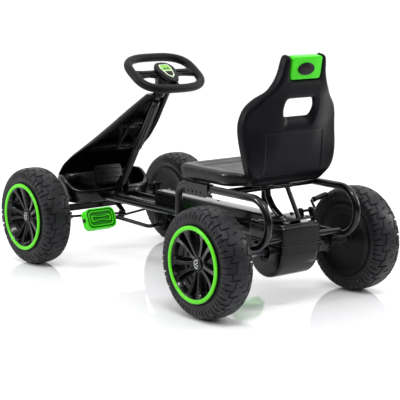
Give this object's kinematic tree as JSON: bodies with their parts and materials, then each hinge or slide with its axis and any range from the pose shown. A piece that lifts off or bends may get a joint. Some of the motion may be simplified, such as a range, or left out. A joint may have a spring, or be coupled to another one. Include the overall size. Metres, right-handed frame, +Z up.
{
  "type": "pedal go-kart",
  "caption": "Pedal go-kart with bucket seat, chain drive, linked steering, hand brake and balloon tyres on ringed wheels.",
  "frame": {"origin": "on the ground, at the middle of the kart's length and width", "axes": "+Z up, -Y towards the kart's front, +X to the driver's left"},
  "size_m": [0.66, 1.15, 0.6918],
  "materials": {
    "powder_coat": "gloss black powder coat",
    "satin_plastic": "satin moulded black",
    "seat_plastic": "fine-grained blow-moulded black",
    "wheel_plastic": "satin black",
    "cover_plastic": "gloss black",
    "tyre_rubber": "moulded rubber",
    "green_ring": "gloss green",
    "green_plastic": "gloss green",
    "cap_metal_look": "gloss black with a pale moulded device",
    "dark_badge": "gloss domed",
    "pale_badge": "gloss printed shield",
    "wheel_grip": "soft-touch black",
    "zinc_steel": "zinc plated",
    "chain_steel": "oiled steel",
    "nylon": "natural nylon"
  },
  "bodies": {
    "chassis": {"main_frame": "powder_coat", "front_axle_beam": "powder_coat", "side_loop_left": "powder_coat", "side_loop_right": "powder_coat", "seat_support": "powder_coat", "steering_column": "powder_coat", "column_sleeve": "satin_plastic", "chain_case_lower": "satin_plastic", "chain_case_upper": "satin_plastic", "front_fairing": "satin_plastic", "footwell_body": "satin_plastic", "rear_bearings": "zinc_steel", "crank_bushes": "nylon", "drive_chain": "chain_steel", "kingpins": "zinc_steel", "frame_bolts": "zinc_steel", "case_screws": "zinc_steel"},
    "seat": {"seat_base": "seat_plastic", "seat_back": "seat_plastic", "headrest_insert": "green_plastic", "headrest_badge": "dark_badge", "seat_brackets": "powder_coat"},
    "steering": {"steering_shaft": "zinc_steel", "steering_wheel": "wheel_grip", "hub_cover": "satin_plastic", "hub_badge": "pale_badge"},
    "knuckle_l": {"knuckle_left": "powder_coat"},
    "knuckle_r": {"knuckle_right": "powder_coat"},
    "tie_rod_l": {"tie_rod_left": "zinc_steel"},
    "tie_rod_r": {"tie_rod_right": "zinc_steel"},
    "crank": {"crank_axle": "powder_coat", "chainring": "chain_steel"},
    "pedal_l": {"pedal_left": "green_plastic"},
    "pedal_r": {"pedal_right": "green_plastic"},
    "rear_drive": {"rear_axle": "zinc_steel", "rear_sprocket": "chain_steel", "rear_left_tyre": "tyre_rubber", "rear_left_rim": "wheel_plastic", "rear_left_wheel_cover": "cover_plastic", "rear_left_trim_ring": "green_ring", "rear_left_hub_cap": "cap_metal_look"},
    "rear_right_wheel": {"rear_right_tyre": "tyre_rubber", "rear_right_rim": "wheel_plastic", "rear_right_wheel_cover": "cover_plastic", "rear_right_trim_ring": "green_ring", "rear_right_hub_cap": "cap_metal_look"},
    "front_left_wheel": {"front_left_tyre": "tyre_rubber", "front_left_rim": "wheel_plastic", "front_left_wheel_cover": "cover_plastic", "front_left_trim_ring": "green_ring", "front_left_hub_cap": "cap_metal_look"},
    "front_right_wheel": {"front_right_tyre": "tyre_rubber", "front_right_rim": "wheel_plastic", "front_right_wheel_cover": "cover_plastic", "front_right_trim_ring": "green_ring", "front_right_hub_cap": "cap_metal_look"},
    "hand_brake": {"brake_lever": "powder_coat", "brake_grip": "wheel_grip", "brake_shoe": "powder_coat"}
  },
  "joints": [
    {"name": "seat_adjust", "type": "slide", "parent": "chassis", "child": "seat", "axis": [0, 1, 0], "range_m": [-0.03, 0.03]},
    {"name": "steering_turn", "type": "hinge", "parent": "chassis", "child": "steering", "pos_m": [0, -0.356, 0.22], "axis": [0, 0.5446, 0.8387], "range_deg": [-32, 32]},
    {"name": "knuckle_left_turn", "type": "hinge", "parent": "chassis", "child": "knuckle_l", "pos_m": [0.19, -0.425, 0.15], "axis": [0, 0, 1], "range_deg": [-26, 26]},
    {"name": "knuckle_right_turn", "type": "hinge", "parent": "chassis", "child": "knuckle_r", "pos_m": [-0.19, -0.425, 0.15], "axis": [0, 0, 1], "range_deg": [-26, 26]},
    {"name": "tie_rod_left_turn", "type": "hinge", "parent": "knuckle_l", "child": "tie_rod_l", "pos_m": [0.19, -0.365, 0.144], "axis": [0, 0, 1], "range_deg": [-26, 26]},
    {"name": "tie_rod_right_turn", "type": "hinge", "parent": "knuckle_r", "child": "tie_rod_r", "pos_m": [-0.19, -0.365, 0.144], "axis": [0, 0, 1], "range_deg": [-26, 26]},
    {"name": "front_left_wheel_spin", "type": "hinge", "parent": "knuckle_l", "child": "front_left_wheel", "pos_m": [0.278, -0.425, 0.15], "axis": [1, 0, 0], "continuous": true},
    {"name": "front_right_wheel_spin", "type": "hinge", "parent": "knuckle_r", "child": "front_right_wheel", "pos_m": [-0.278, -0.425, 0.15], "axis": [1, 0, 0], "continuous": true},
    {"name": "rear_axle_spin", "type": "hinge", "parent": "chassis", "child": "rear_drive", "pos_m": [0, 0.425, 0.15], "axis": [1, 0, 0], "continuous": true},
    {"name": "rear_right_wheel_spin", "type": "hinge", "parent": "rear_drive", "child": "rear_right_wheel", "pos_m": [-0.27, 0.425, 0.15], "axis": [1, 0, 0], "continuous": true},
    {"name": "crank_turn", "type": "hinge", "parent": "chassis", "child": "crank", "pos_m": [0, -0.072, 0.148], "axis": [1, 0, 0], "continuous": true},
    {"name": "pedal_left_spin", "type": "hinge", "parent": "crank", "child": "pedal_l", "pos_m": [0.2, -0.187, 0.165], "axis": [1, 0, 0], "continuous": true},
    {"name": "pedal_right_spin", "type": "hinge", "parent": "crank", "child": "pedal_r", "pos_m": [-0.2, 0.043, 0.131], "axis": [1, 0, 0], "continuous": true},
    {"name": "hand_brake_pull", "type": "hinge", "parent": "chassis", "child": "hand_brake", "pos_m": [-0.09, 0.436, 0.252], "axis": [-1, 0, 0], "range_deg": [0, 10]}
  ],
  "couplings": [
    {"joint": "knuckle_left_turn", "follows": "steering_turn", "ratio": 0.8},
    {"joint": "knuckle_right_turn", "follows": "steering_turn", "ratio": 0.8},
    {"joint": "tie_rod_left_turn", "follows": "steering_turn", "ratio": -0.8},
    {"joint": "tie_rod_right_turn", "follows": "steering_turn", "ratio": -0.8},
    {"joint": "crank_turn", "follows": "rear_axle_spin", "ratio": 0.71429}
  ]
}
